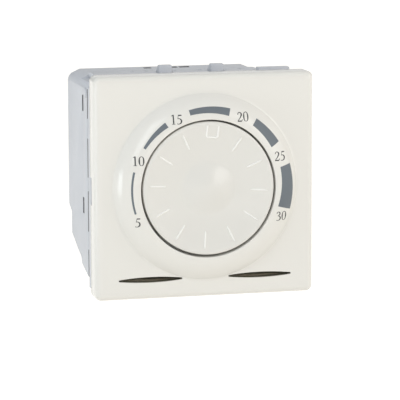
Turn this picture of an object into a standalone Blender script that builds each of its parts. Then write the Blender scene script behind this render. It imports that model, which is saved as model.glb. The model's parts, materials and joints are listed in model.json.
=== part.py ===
"""Wall thermostat: a 45 mm module with a setting knob, built as its separate pieces.

Frame: +Z up, the front faces -Y, +X is to the right of someone who looks at the front.
The origin is the middle of the seat plane, the rear face of the flange, where the
mounting frame in the wall box touches it. Every size below is in millimetres. The pieces
are shaped and cut in millimetres too, and finish() scales each one to metres.
"""
import math

import bmesh
import bpy
from mathutils import Matrix, Vector

MM = 0.001
GAP = 0.3                       # clearance between neighbouring pieces
FAR = 30.0                      # beyond the outside of every piece, for cutters

# ---- driving dimensions ------------------------------------------------------------
MODULE = 45.0                   # width and height of the cover, a two-module insert
HALF = MODULE / 2
COVER_FRONT = -7.5              # Y of the cover's flat front
COVER_REAR = -2.5               # Y of the cover's rear edge
COVER_WALL = 1.6
COVER_EDGE_RADIUS = 1.1
COVER_CORNER_RADIUS = 1.25
RING_RADIUS = 18.8              # foot of the raised ring round the knob
RING_HEIGHT = 3.05
HOLE_RADIUS = 13.85
KNOB_RADIUS = 13.4
KNOB_FRONT = -10.45
VENT_CENTRE = (11.3, -18.4)     # X (either side) and Z
VENT_LENGTH = 12.9
VENT_HEIGHT = 1.05
FLOOR_FRONT, FLOOR_REAR = -6.6, -5.6    # dial floor behind the knob
PRY_NOTCH = (-3.6, 2.1)         # Z span of the notch in the left wall, for a screwdriver
HUB_RADIUS = 4.0
SHAFT_RADIUS = 3.0
STOP_HALF_ANGLE = 52.0          # the stop in the potentiometer leaves the knob 225 degrees

FLANGE_FRONT = -2.2
FLANGE_HALF_WIDTH = 22.3
FLANGE_TOP, FLANGE_BOTTOM = 21.8, -20.85
FLANGE_SHOULDER = 2.2           # bevel of the flange's upper corners
COLLAR_HALF = 20.4
COLLAR_WALL = 1.2
COLLAR_FRONT = -4.6
COLLAR_BOTTOM = -19.9
KEY_SPAN, KEY_TOP = (12.7, 19.2), 22.8  # the key block on top: its X span and top
LUG_HALF_WIDTH = 1.5
LUG_TOP, LUG_TIP = -21.05, -22.1        # Z of the lower lugs' seat and tip
SEAM_TABS = ((9.3, 13.3), (-1.4, 1.4), (-13.3, -9.6))   # Z spans that close the groove

BODY_HALF_WIDTH = 22.2
PIP_CENTRE, PIP_RADIUS = (2.4, 18.4), 1.0       # Y and Z of a pip on the left wall
BODY_FRONT = 0.7                # leaves a groove between the flange and the body
BODY_TOP = 21.2
BODY_REAR = 20.9
BODY_WALL = 1.4
BODY_CORNER = ((0.0, 2.1), (0.2, 1.4), (0.75, 0.8), (2.5, 0.0))    # in from the side, down
SHOULDER_X = 14.8               # the right shoulder is stepped down beyond this
SHOULDER_TOP = 19.4
ROOF_THICKNESS = 1.1
ROOF_REAR = 9.6                 # the carrier's roof covers the body's top up to here
ROOF_PITS = (-11.6, -8.7, -2.9, 2.6, 7.9, 11.0)         # X of small pits in the roof
PIT_HALF_WIDTH = 0.4
PIT_FRONT, PIT_REAR = 6.8, 7.7
TOP_SLOT_FRONT, TOP_SLOT_REAR = 17.6, 19.0
TOP_SLOTS = ((-6.6, -5.2), (-0.9, 0.4), (1.0, 3.0))     # X spans of slots near the rear top edge
FOOT_REAR = 18.1                # the body's lower part is less deep
SIDE_OUTLINE = [                # the body seen from the side: (Y, Z) from the front foot
    (BODY_FRONT, -18.9), (2.6, -18.7), (7.9, -17.3), (8.6, -16.0), (12.0, -15.0),
    (FOOT_REAR, -12.6), (FOOT_REAR, -8.0), (19.2, -7.7), (BODY_REAR, -6.9),
    (BODY_REAR, BODY_TOP), (BODY_FRONT, BODY_TOP),
]
INNER_OUTLINE = [               # the space inside it, a wall's thickness smaller
    (-1.0, -17.5), (2.3, -17.3), (6.7, -16.1), (7.4, -14.7), (11.3, -13.7), (16.7, -11.6),
    (16.7, -6.5), (BODY_REAR - BODY_WALL, -5.4),
    (BODY_REAR - BODY_WALL, SHOULDER_TOP - BODY_WALL), (-1.0, SHOULDER_TOP - BODY_WALL),
]
PANEL_SPAN = (3.2, 18.6)        # X span of each sunk rear panel, on either side
PANEL_BOTTOM, PANEL_TOP = -3.6, 17.6
PANEL_DEPTH = 0.5
VENT_ROW_SPAN = (5.2, 16.6)     # X span of the air slots, on either side
VENT_ROWS = 6                   # air slots in each rear panel
VENT_ROW_HEIGHT = 1.2

WINDOW_MIDDLES = (15.95, -4.95) # Z of the windows in the side walls, which the cover hooks into
WINDOW_HEIGHT = 3.3
WINDOW_FRONT, WINDOW_REAR = 4.9, 6.3

LATCH_X = 5.4
LATCH_HALF_WIDTH = 1.35
HOOK_FRONT = 3.8                # the hooks' catch faces, a frame's thickness behind the seat
LATCH_HOOK_TOP = 23.3
LATCH_FRONT = 2.4
LATCH_PIVOT_Y = 14.0
LATCH_THICKNESS = 1.1

BLOCK_HALF_WIDTH = 16.9
BLOCK_FRONT, BLOCK_REAR = 2.6, 17.6
BLOCK_BOTTOM, BLOCK_TOP = -19.5, -7.9
CELL_PITCH = 8.2
CELL_CENTRES = [(index - 1.5) * CELL_PITCH for index in range(4)]
CELL_HALF_WIDTH = 3.0
CELL_FRONT, CELL_REAR = 3.2, 10.0
CELL_BOTTOM, CELL_TOP = -17.6, -9.0
SCREW_Y = 7.6
WELL_TOP = -18.2                # the screw head turns in a well below this shelf
WIRE_LOW, WIRE_HIGH = -13.9, -9.3
WIRE_HALF_WIDTH = 2.3
BAR_LOW, BAR_HIGH = -14.4, -13.4

POWER_LOW, POWER_HIGH = -7.5, -6.1      # horizontal power board, over the terminals
POWER_REAR = 16.3
CONTROL_FRONT, CONTROL_REAR = 0.6, 2.0  # upright control board behind the cover
CONTROL_TOP = 17.2
RELAY_AT = (-10.6, 8.9, -5.8)

ROUND = 24                      # sides of a small round piece

COLOURS = {                     # colour, roughness, metallic
    "cover_plastic": ((0.80, 0.79, 0.76), 0.35, 0.0),
    "knob_plastic": ((0.78, 0.77, 0.74), 0.35, 0.0),
    "carrier_plastic": ((0.62, 0.65, 0.68), 0.5, 0.0),
    "body_plastic": ((0.60, 0.63, 0.66), 0.5, 0.0),
    "terminal_plastic": ((0.55, 0.56, 0.57), 0.5, 0.0),
    "board_laminate": ((0.05, 0.22, 0.10), 0.5, 0.0),
    "component_black": ((0.03, 0.03, 0.035), 0.45, 0.0),
    "component_yellow": ((0.75, 0.55, 0.08), 0.4, 0.0),
    "component_blue": ((0.05, 0.14, 0.45), 0.4, 0.0),
    "relay_shell": ((0.06, 0.16, 0.50), 0.3, 0.0),
    "track_laminate": ((0.28, 0.15, 0.07), 0.6, 0.0),
    "zinc_steel": ((0.62, 0.62, 0.60), 0.35, 1.0),
    "brass": ((0.72, 0.55, 0.26), 0.3, 1.0),
    "copper_winding": ((0.62, 0.26, 0.12), 0.35, 1.0),
    "spring_steel": ((0.55, 0.55, 0.56), 0.3, 1.0),
    "aluminium_can": ((0.75, 0.76, 0.77), 0.3, 1.0),
}


# ---- helpers -----------------------------------------------------------------------
def clear_scene():
    for obj in list(bpy.data.objects):
        bpy.data.objects.remove(obj, do_unlink=True)


def material(slot):
    """The material of a colour slot, made once."""
    if slot in bpy.data.materials:
        return bpy.data.materials[slot]
    colour, roughness, metallic = COLOURS[slot]
    made = bpy.data.materials.new(slot)
    made.use_nodes = True
    shader = made.node_tree.nodes["Principled BSDF"]
    shader.inputs["Base Color"].default_value = (*colour, 1.0)
    shader.inputs["Roughness"].default_value = roughness
    shader.inputs["Metallic"].default_value = metallic
    made.diffuse_color = (*colour, 1.0)
    return made


def shape(bm, name="shape"):
    """Turns a bmesh in millimetres into an object, with its faces pointing out."""
    bmesh.ops.recalc_face_normals(bm, faces=bm.faces)
    mesh = bpy.data.meshes.new(name)
    bm.to_mesh(mesh)
    bm.free()
    obj = bpy.data.objects.new(name, mesh)
    bpy.context.collection.objects.link(obj)
    return obj


def box_mesh(low, high):
    """A box between two opposite corners, given in any order."""
    bm = bmesh.new()
    bmesh.ops.create_cube(bm, size=1.0)
    low, high = Vector(map(min, low, high)), Vector(map(max, low, high))
    size = high - low
    for vert in bm.verts:
        vert.co = low + Vector([(vert.co[i] + 0.5) * size[i] for i in range(3)])
    return bm


def box(low, high):
    return shape(box_mesh(low, high))


def soft_box(low, high, radius, segments=2):
    """A box whose edges are all rounded."""
    bm = box_mesh(low, high)
    bmesh.ops.bevel(bm, geom=list(bm.edges), offset=radius, segments=segments,
                    affect='EDGES', profile=0.5)
    return shape(bm)


def prism(outline, axis, start, end):
    """Extrudes a closed outline along X, Y or Z. The outline gives the other two, in order."""
    bm = bmesh.new()
    others = [i for i in range(3) if i != axis]
    corners = []
    for pair in outline:
        point = Vector((0.0, 0.0, 0.0))
        point[axis] = start
        point[others[0]], point[others[1]] = pair
        corners.append(bm.verts.new(point))
    face = bm.faces.new(corners)
    grown = bmesh.ops.extrude_face_region(bm, geom=[face])
    shift = Vector((0.0, 0.0, 0.0))
    shift[axis] = end - start
    moved = [item for item in grown["geom"] if isinstance(item, bmesh.types.BMVert)]
    bmesh.ops.translate(bm, vec=shift, verts=moved)
    return shape(bm)


def turned(profile, centre=(0.0, 0.0, 0.0), axis='Y', sides=ROUND, phase=0.0):
    """Turns (radius, height) points about an axis through centre. Radius 0 closes an end."""
    frame = {
        'Y': (Vector((0, 0, 1)), Vector((1, 0, 0)), Vector((0, 1, 0))),
        'Z': (Vector((1, 0, 0)), Vector((0, 1, 0)), Vector((0, 0, 1))),
        'X': (Vector((0, 1, 0)), Vector((0, 0, 1)), Vector((1, 0, 0))),
    }[axis]
    along, across, up = frame
    bm = bmesh.new()
    rings = []
    for radius, height in profile:
        middle = Vector(centre) + up * height
        if radius == 0.0:
            rings.append([bm.verts.new(middle)])
            continue
        ring = []
        for step in range(sides):
            angle = 2 * math.pi * step / sides + phase
            offset = along * math.cos(angle) + across * math.sin(angle)
            ring.append(bm.verts.new(middle + offset * radius))
        rings.append(ring)
    closed = profile[0][0] != 0.0
    pairs = list(zip(rings, rings[1:])) + ([(rings[-1], rings[0])] if closed else [])
    for first, second in pairs:
        for step in range(sides):
            after = (step + 1) % sides
            if len(first) == 1:
                bm.faces.new((first[0], second[step], second[after]))
            elif len(second) == 1:
                bm.faces.new((first[step], second[0], first[after]))
            else:
                bm.faces.new((first[step], second[step], second[after], first[after]))
    return shape(bm)


def rod(radius, start, end, centre=(0.0, 0.0, 0.0), axis='Y', sides=ROUND):
    return turned([(0.0, start), (radius, start), (radius, end), (0.0, end)],
                  centre, axis, sides)


def boolean(target, tools, operation):
    """Applies Boolean tools to the target one after another and removes them."""
    for tool in tools:
        step = target.modifiers.new(operation.lower(), 'BOOLEAN')
        step.operation = operation
        step.solver = 'EXACT'
        step.object = tool
        graph = bpy.context.evaluated_depsgraph_get()
        result = bpy.data.meshes.new_from_object(target.evaluated_get(graph))
        target.modifiers.remove(step)
        target.data = result
        bpy.data.objects.remove(tool, do_unlink=True)
    return target


def cut(target, *tools):
    return boolean(target, tools, 'DIFFERENCE')


def join(target, *tools):
    return boolean(target, tools, 'UNION')


def keep(target, *tools):
    return boolean(target, tools, 'INTERSECT')


def finish(obj, name, slot, pivot=(0, 0, 0), smooth_angle=35.0):
    """Names the piece, gives it its material, and puts its origin on its joint's axis."""
    obj.name = name
    obj.data.name = name
    obj.data.materials.clear()
    obj.data.materials.append(material(slot))
    obj.data.transform(Matrix.Scale(MM, 4))
    origin = Vector(pivot) * MM
    obj.data.transform(Matrix.Translation(-origin))
    obj.location = origin
    obj.data.shade_smooth()
    obj.data.set_sharp_from_angle(angle=math.radians(smooth_angle))
    return obj


def rounded_square(half_width, half_height, radius, steps=4):
    """The outline of a rectangle with round corners, centred on zero."""
    outline = []
    for turn, (sx, sz) in enumerate([(1, 1), (-1, 1), (-1, -1), (1, -1)]):
        centre_x = sx * (half_width - radius)
        centre_z = sz * (half_height - radius)
        for step in range(steps + 1):
            angle = math.pi / 2 * (turn + step / steps)
            outline.append((centre_x + radius * math.cos(angle),
                            centre_z + radius * math.sin(angle)))
    return outline


def lens(centre_x, centre_z, length, height, steps=8):
    """A slot outline with bowed long sides and blunt ends."""
    end_height = 0.32 * height
    upper = []
    for step in range(steps + 1):
        t = 2 * step / steps - 1
        rise = end_height + (height - end_height) * (1 - t * t)
        upper.append((centre_x + t * length / 2, rise / 2))
    lower = [(x, -rise) for x, rise in reversed(upper)]
    return [(x, centre_z + z) for x, z in upper + lower]


# ---- front cover -------------------------------------------------------------------
def cover_shell():
    """The plate and its side walls, layer by layer, so that the front edge is rounded."""
    bm = bmesh.new()
    layers = []
    for step in range(4):
        angle = math.pi / 2 * step / 3
        inset = COVER_EDGE_RADIUS * (1 - math.sin(angle))
        depth = COVER_FRONT + COVER_EDGE_RADIUS * (1 - math.cos(angle))
        layers.append((depth, inset))
    layers.append((COVER_REAR, 0.0))
    rings = []
    for depth, inset in layers:
        outline = rounded_square(HALF - inset, HALF - inset, COVER_CORNER_RADIUS)
        rings.append([bm.verts.new((x, depth, z)) for x, z in outline])
    for first, second in zip(rings, rings[1:]):
        for index in range(len(first)):
            after = (index + 1) % len(first)
            bm.faces.new((first[index], first[after], second[after], second[index]))
    bm.faces.new(rings[0])
    bm.faces.new(list(reversed(rings[-1])))
    shell = shape(bm)
    inner = HALF - COVER_WALL
    return cut(shell, box((-inner, COVER_FRONT + COVER_WALL, -inner),
                          (inner, COVER_REAR + 1.0, inner)))


def ring_profile():
    """The raised ring, flat where the scale is printed, with the dial floor behind the knob."""
    points = []
    steps, low_step = 8, 0.1
    for step in range(steps):
        t = 1 - step / steps
        height = max(RING_HEIGHT * (1 - t ** 2.2) ** 0.85, low_step)
        points.append((HOLE_RADIUS + (RING_RADIUS - HOLE_RADIUS) * t, COVER_FRONT - height))
    points.append((HOLE_RADIUS + 0.15, COVER_FRONT - RING_HEIGHT))
    points.append((HOLE_RADIUS, COVER_FRONT - RING_HEIGHT + 0.15))
    points.append((HOLE_RADIUS, FLOOR_FRONT))
    points.append((HUB_RADIUS + 0.5, FLOOR_FRONT))
    points.append((HUB_RADIUS + 0.5, FLOOR_REAR))
    points.append((15.2, FLOOR_REAR))
    points.append((15.6, COVER_FRONT - 1.6))
    points.append((17.0, COVER_FRONT - 0.6))
    points.append((17.4, COVER_FRONT + COVER_WALL - 0.1))
    points.append((RING_RADIUS, COVER_FRONT + COVER_WALL - 0.1))
    return points


def snap_leg(side, middle_z):
    """A leg of the cover that reaches back and hooks into a window of the body."""
    low_z, high_z = middle_z - 1.3, middle_z + 1.3
    root, barb = COVER_FRONT + 0.8, WINDOW_FRONT + GAP
    outline = [(19.0, root), (20.1, root), (20.1, barb), (21.7, barb), (21.7, barb + 0.2),
               (20.1, barb + 0.8), (20.1, barb + 2.0), (19.0, barb + 2.0)]
    return prism([(side * x, y) for x, y in outline], 2, low_z, high_z)


def front_cover():
    cover = cover_shell()
    cut(cover, rod(RING_RADIUS - 1.0, COVER_FRONT - 1, COVER_REAR, sides=96))
    join(cover, turned(ring_profile(), sides=96))
    for side in (-1, 1):
        outline = lens(side * VENT_CENTRE[0], VENT_CENTRE[1], VENT_LENGTH, VENT_HEIGHT)
        cut(cover, prism(outline, 1, COVER_FRONT - 1, COVER_FRONT + 3))
        for middle_z in WINDOW_MIDDLES:
            join(cover, snap_leg(side, middle_z))
    low_z, high_z = PRY_NOTCH
    cut(cover, box((-HALF - 1, COVER_REAR - 1.6, low_z), (-HALF + 1.2, COVER_REAR + 1, high_z)))
    return finish(cover, "front_cover", "cover_plastic")


# ---- knob and potentiometer --------------------------------------------------------
def dish_height(radius):
    """How far the knob's face lies behind its rim: a shallow dish with a domed middle."""
    dish = 1.15 * (1 - min(radius / 12.6, 1.0) ** 2)
    dome = 1.25 * max(0.0, 1 - (radius / 5.2) ** 2)
    return dish - dome


def knob_cap():
    profile = [(0.0, KNOB_FRONT + dish_height(0.0))]
    for radius in (1.6, 3.0, 4.2, 5.2, 7.0, 9.0, 11.0, 12.6):
        profile.append((radius, KNOB_FRONT + dish_height(radius)))
    profile += [(13.0, KNOB_FRONT + 0.05), (KNOB_RADIUS - 0.1, KNOB_FRONT + 0.25),
                (KNOB_RADIUS, KNOB_FRONT + 0.6), (KNOB_RADIUS, -7.0), (12.2, -7.0),
                (12.2, -8.4), (HUB_RADIUS, -8.4), (HUB_RADIUS, -4.9), (0.0, -4.9)]
    knob = turned(profile, sides=96)
    cut(knob, rod(SHAFT_RADIUS + GAP, -8.6, -4.0))
    for index in range(12):
        angle = math.radians(30 * index)
        if index == 0:
            ridge = box((-1.25, KNOB_FRONT - 0.02, 10.1), (1.25, KNOB_FRONT + 0.9, 12.5))
            cut(ridge, box((-0.9, KNOB_FRONT - 1, 10.45), (0.9, KNOB_FRONT + 0.25, 12.15)))
        else:
            low, high = 8.7, 12.1
            outline = [(KNOB_FRONT + dish_height(low) - 0.14, low),
                       (KNOB_FRONT + dish_height(high) - 0.14, high),
                       (KNOB_FRONT + dish_height(high) + 0.5, high),
                       (KNOB_FRONT + dish_height(low) + 0.5, low)]
            ridge = prism(outline, 0, -0.16, 0.16)
        ridge.data.transform(Matrix.Rotation(angle, 4, 'Y'))
        join(knob, ridge)
    return knob


REST_TURN = 4.0                 # degrees clockwise of the middle: 18 degrees on the scale


def turn_with_knob(obj):
    obj.data.transform(Matrix.Rotation(math.radians(REST_TURN), 4, 'Y'))
    return obj


def knob_parts():
    finish(turn_with_knob(knob_cap()), "knob_cap", "knob_plastic")
    shaft = rod(SHAFT_RADIUS, -8.3, -1.3)
    cut(shaft, box((-4, -9, 2.0), (4, -4.5, 4)))
    finish(turn_with_knob(shaft), "potentiometer_shaft", "aluminium_can")
    clip = prism([(-8.1, 2.35), (-7.6, 2.7), (-5.6, 2.7), (-5.0, 2.35), (-5.0, 2.6),
                  (-5.6, 2.95), (-7.6, 2.95), (-8.1, 2.6)], 0, -1.2, 1.2)
    finish(turn_with_knob(clip), "knob_spring_clip", "spring_steel")
    wiper = turned([(SHAFT_RADIUS + GAP, -2.9), (5.0, -2.9), (5.0, -1.9),
                    (SHAFT_RADIUS + GAP, -1.9)])
    arm = prism([(-0.9, 4.5), (0.9, 4.5), (1.4, 6.4), (-1.4, 6.4)], 1, -2.8, -1.9)
    finger = box((-0.35, -2.2, 5.2), (0.35, -1.3, 6.2))
    join(wiper, arm, finger)
    finish(turn_with_knob(wiper), "wiper", "brass")


def potentiometer_case():
    case = turned([(SHAFT_RADIUS + GAP, -4.4), (8.0, -4.4), (8.0, -0.1), (7.3, -0.1),
                   (7.3, -3.6), (SHAFT_RADIUS + GAP, -3.6)], sides=32)
    stop = []
    for step in range(5):
        angle = math.radians(180 - STOP_HALF_ANGLE * (1 - step / 2))
        stop.append((5.4 * math.sin(angle), 5.4 * math.cos(angle)))
    for step in range(5):
        angle = math.radians(180 + STOP_HALF_ANGLE * (1 - step / 2))
        stop.append((7.6 * math.sin(angle), 7.6 * math.cos(angle)))
    join(case, prism(stop, 1, -4.0, -1.5))
    finish(case, "potentiometer_case", "component_black")
    wafer = rod(6.9, -0.95, -0.1, sides=32)
    for x in (-2.5, 0.0, 2.5):
        join(wafer, rod(0.4, -0.5, 3.0, (x, 0, -5.6), sides=8))
    finish(wafer, "track_wafer", "track_laminate")


# ---- carrier frame and latches -----------------------------------------------------
def lower_lug(x):
    """A fixed hook under the flange, which holds the lower rail of the mounting frame."""
    top = BLOCK_BOTTOM - GAP - 0.05
    root, back = FLANGE_FRONT + 0.2, HOOK_FRONT + 1.2
    outline = [(root, top), (back, top), (back, LUG_TOP + 0.35), (HOOK_FRONT, LUG_TIP),
               (HOOK_FRONT, LUG_TOP), (root, LUG_TOP)]
    return prism(outline, 0, x - LUG_HALF_WIDTH, x + LUG_HALF_WIDTH)


def carrier_frame():
    shoulder_z = FLANGE_TOP - FLANGE_SHOULDER
    shoulder_x = FLANGE_HALF_WIDTH - FLANGE_SHOULDER
    flange = prism([(-FLANGE_HALF_WIDTH, FLANGE_BOTTOM), (FLANGE_HALF_WIDTH, FLANGE_BOTTOM),
                    (FLANGE_HALF_WIDTH, shoulder_z), (shoulder_x, FLANGE_TOP),
                    (-shoulder_x, FLANGE_TOP), (-FLANGE_HALF_WIDTH, shoulder_z)],
                   1, FLANGE_FRONT, 0.0)
    collar = box((-COLLAR_HALF, COLLAR_FRONT, COLLAR_BOTTOM),
                 (COLLAR_HALF, FLANGE_FRONT + 0.4, COLLAR_HALF))
    roof = box((-shoulder_x, -0.6, FLANGE_TOP - ROOF_THICKNESS),
               (SHOULDER_X - GAP, ROOF_REAR, FLANGE_TOP))
    key = box((KEY_SPAN[0], -1.2, FLANGE_TOP - 0.8), (KEY_SPAN[1], 0.8, KEY_TOP))
    join(flange, collar, roof, key)
    inner = COLLAR_HALF - COLLAR_WALL
    cut(flange, box((-inner, COLLAR_FRONT - 1, COLLAR_BOTTOM + 1.0), (inner, 1.0, inner)))
    for x in ROOF_PITS:
        cut(flange, box((x - PIT_HALF_WIDTH, PIT_FRONT, 20.0),
                        (x + PIT_HALF_WIDTH, PIT_REAR, FAR)))
    for side in (-1, 1):
        for low, high in SEAM_TABS:
            join(flange, box((side * 20.2, -0.4, low),
                             (side * (BODY_HALF_WIDTH - 0.1), BODY_FRONT - GAP, high)))
        for middle_z in WINDOW_MIDDLES:
            cut(flange, box((side * 18.6, COLLAR_FRONT - 1, middle_z - 1.7),
                            (side * 20.5, 1.0, middle_z + 1.7)))
        slot_edge = LATCH_HALF_WIDTH + GAP
        cut(flange, box((side * LATCH_X - slot_edge, LATCH_FRONT - GAP, 20.0),
                        (side * LATCH_X + slot_edge, ROOF_REAR + 1, FAR)))
        join(flange, lower_lug(side * LATCH_X))
    return finish(flange, "carrier_frame", "carrier_plastic")


def upper_latch(side, name):
    """A springy tongue in the top wall. Its hook holds the mounting frame."""
    low = BODY_TOP - LATCH_THICKNESS
    outline = [(LATCH_FRONT, low), (LATCH_PIVOT_Y, low), (LATCH_PIVOT_Y, BODY_TOP),
               (HOOK_FRONT + 3.9, BODY_TOP), (HOOK_FRONT + 1.4, LATCH_HOOK_TOP),
               (HOOK_FRONT, LATCH_HOOK_TOP), (HOOK_FRONT, BODY_TOP), (LATCH_FRONT, BODY_TOP)]
    middle = side * LATCH_X
    tongue = prism(outline, 0, middle - LATCH_HALF_WIDTH, middle + LATCH_HALF_WIDTH)
    return finish(tongue, name, "carrier_plastic", (middle, LATCH_PIVOT_Y, BODY_TOP))


# ---- rear housing ------------------------------------------------------------------
def body_section():
    """The body seen from the front: its upper corners are bevelled and eased."""
    half = BODY_HALF_WIDTH
    corner = [(half - inset, BODY_TOP + 0.01 - drop) for inset, drop in BODY_CORNER]
    ease_start = corner[0][1]
    return ([(-half - 1, -FAR), (half + 1, -FAR), (half + 1, ease_start)] + corner
            + [(-x, z) for x, z in reversed(corner)] + [(-half - 1, ease_start)])


def rear_panel_cutters(side):
    """A sunk panel in the rear wall and its row of air slots."""
    near, far = (side * x for x in PANEL_SPAN)
    slot_near, slot_far = (side * x for x in VENT_ROW_SPAN)
    cutters = [box((near, BODY_REAR - PANEL_DEPTH, PANEL_BOTTOM),
                   (far, BODY_REAR + 1, PANEL_TOP))]
    pitch = (PANEL_TOP - PANEL_BOTTOM) / VENT_ROWS
    for row in range(VENT_ROWS):
        middle = PANEL_BOTTOM + (row + 0.5) * pitch
        cutters.append(box((slot_near, BODY_REAR - 3, middle - VENT_ROW_HEIGHT / 2),
                           (slot_far, BODY_REAR + 1, middle + VENT_ROW_HEIGHT / 2)))
    return cutters


def rear_housing():
    body = prism(SIDE_OUTLINE, 0, -BODY_HALF_WIDTH, BODY_HALF_WIDTH)
    keep(body, prism(body_section(), 1, -1, BODY_REAR + 1))
    cut(body, box((SHOULDER_X, -1, SHOULDER_TOP), (FAR, FAR, FAR)))
    # inner space, in two parts because of the stepped shoulder
    inner_x = BODY_HALF_WIDTH - BODY_WALL
    inner_rear = BODY_REAR - BODY_WALL
    bay_x = BLOCK_HALF_WIDTH + GAP
    cut(body, box((-19.2, -1, -5), (SHOULDER_X - BODY_WALL, inner_rear, BODY_TOP - BODY_WALL)),
        prism(INNER_OUTLINE, 0, -inner_x, inner_x),
        box((-bay_x, -1, -9), (bay_x, FOOT_REAR - BODY_WALL, -5)))
    # the terminal block's bay is open behind and below
    cut(body, box((-bay_x, -1, -FAR), (bay_x, FAR, BLOCK_TOP + 0.2)))
    # the carrier's roof lies over the front of the top wall
    cut(body, box((-FAR, -1, FLANGE_TOP - ROOF_THICKNESS - GAP),
                  (SHOULDER_X, ROOF_REAR + GAP, FAR)))
    join(body, rod(PIP_RADIUS, -BODY_HALF_WIDTH - 0.25, -inner_x + 0.3, (0, *PIP_CENTRE), 'X', 16))
    for side in (-1, 1):
        for middle_z in WINDOW_MIDDLES:
            cut(body, box((side * 20.0, WINDOW_FRONT, middle_z - WINDOW_HEIGHT / 2),
                          (side * 23.0, WINDOW_REAR, middle_z + WINDOW_HEIGHT / 2)))
        slot_edge = LATCH_HALF_WIDTH + GAP
        cut(body, box((side * LATCH_X - slot_edge, LATCH_FRONT - GAP, 19.0),
                      (side * LATCH_X + slot_edge, LATCH_PIVOT_Y + GAP, FAR)))
        cut(body, *rear_panel_cutters(side))
    for low_x, high_x in TOP_SLOTS:
        cut(body, box((low_x, TOP_SLOT_FRONT, 19.0), (high_x, TOP_SLOT_REAR, FAR)))
    return finish(body, "rear_housing", "body_plastic")


# ---- terminals ---------------------------------------------------------------------
def terminal_cell_cutters(x):
    """What is cut for one terminal: its cell, wire entry, screw well and contact slot."""
    well = [(0.0, BLOCK_BOTTOM - 1), (2.4, BLOCK_BOTTOM - 1), (2.4, WELL_TOP), (1.65, WELL_TOP),
            (1.65, CELL_BOTTOM + 0.5), (0.0, CELL_BOTTOM + 0.5)]
    return [
        box((x - CELL_HALF_WIDTH, CELL_FRONT, CELL_BOTTOM),
            (x + CELL_HALF_WIDTH, CELL_REAR, CELL_TOP)),
        box((x - WIRE_HALF_WIDTH, CELL_REAR - 0.5, WIRE_LOW),
            (x + WIRE_HALF_WIDTH, BLOCK_REAR + 1, WIRE_HIGH)),
        turned(well, (x, SCREW_Y, 0), 'Z', 16),
        box((x - 1.9, CELL_FRONT + 0.1, CELL_TOP - 0.5),
            (x + 1.9, CELL_FRONT + 1.5, BLOCK_TOP + 1)),
    ]


def terminal_block():
    block = box((-BLOCK_HALF_WIDTH, BLOCK_FRONT, BLOCK_BOTTOM),
                (BLOCK_HALF_WIDTH, BLOCK_REAR, BLOCK_TOP))
    for x in CELL_CENTRES:
        cut(block, *terminal_cell_cutters(x))
    return finish(block, "terminal_block", "terminal_plastic")


def contact_bar(x, name):
    tail_front = CELL_FRONT + GAP + 0.1
    outline = [(tail_front, BAR_LOW), (CELL_REAR - GAP, BAR_LOW), (CELL_REAR - GAP, BAR_HIGH),
               (tail_front + 0.8, BAR_HIGH), (tail_front + 0.8, -5.2), (tail_front, -5.2)]
    return finish(prism(outline, 0, x - 1.5, x + 1.5), name, "brass")


def terminal_screw(x, name):
    screw = turned([(0.0, -19.1), (1.7, -19.1), (2.0, -18.9), (2.0, -18.5), (1.2, -18.5),
                    (1.2, -15.1), (0.9, -14.8), (0.0, -14.8)], (x, SCREW_Y, 0), 'Z', 16)
    cut(screw, box((x - 2.5, SCREW_Y - 0.3, -20), (x + 2.5, SCREW_Y + 0.3, -18.75)))
    return finish(screw, name, "zinc_steel", (x, SCREW_Y, -18.5))


def wire_clamp(x, name):
    """The cage that the screw pulls down on the wire."""
    cage = box((x - 2.6, 5.9, -15.6), (x + 2.6, 9.3, -9.3))
    cut(cage, box((x - 2.0, 5, -14.8), (x + 2.0, 11, -10.0)),
        rod(1.5, -17, -14, (x, SCREW_Y, 0), 'Z', 16))
    return finish(cage, name, "zinc_steel")


# ---- boards and electronics --------------------------------------------------------
def boards():
    control = box((-18.4, CONTROL_FRONT, -15.9), (18.4, CONTROL_REAR, CONTROL_TOP))
    for x in (-2.5, 0.0, 2.5):
        cut(control, rod(0.75, -1, 4, (x, 0, -5.6), sides=8))
    finish(control, "control_board", "board_laminate")
    power = box((-BLOCK_HALF_WIDTH, BLOCK_FRONT, POWER_LOW),
                (BLOCK_HALF_WIDTH, POWER_REAR, POWER_HIGH))
    for x in CELL_CENTRES:
        cut(power, box((x - 1.9, CELL_FRONT, -9), (x + 1.9, CELL_FRONT + 1.6, -5)))
    finish(power, "power_board", "board_laminate")
    floor = POWER_HIGH + GAP
    header = box((6.2, CONTROL_REAR + GAP, floor), (10.2, 4.0, floor + 2.5))
    for x in (6.9, 8.2, 9.5):
        join(header, box((x - 0.32, 3.0, floor + 0.9), (x + 0.32, 5.6, floor + 1.5)))
    finish(header, "board_connector", "component_black")


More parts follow.
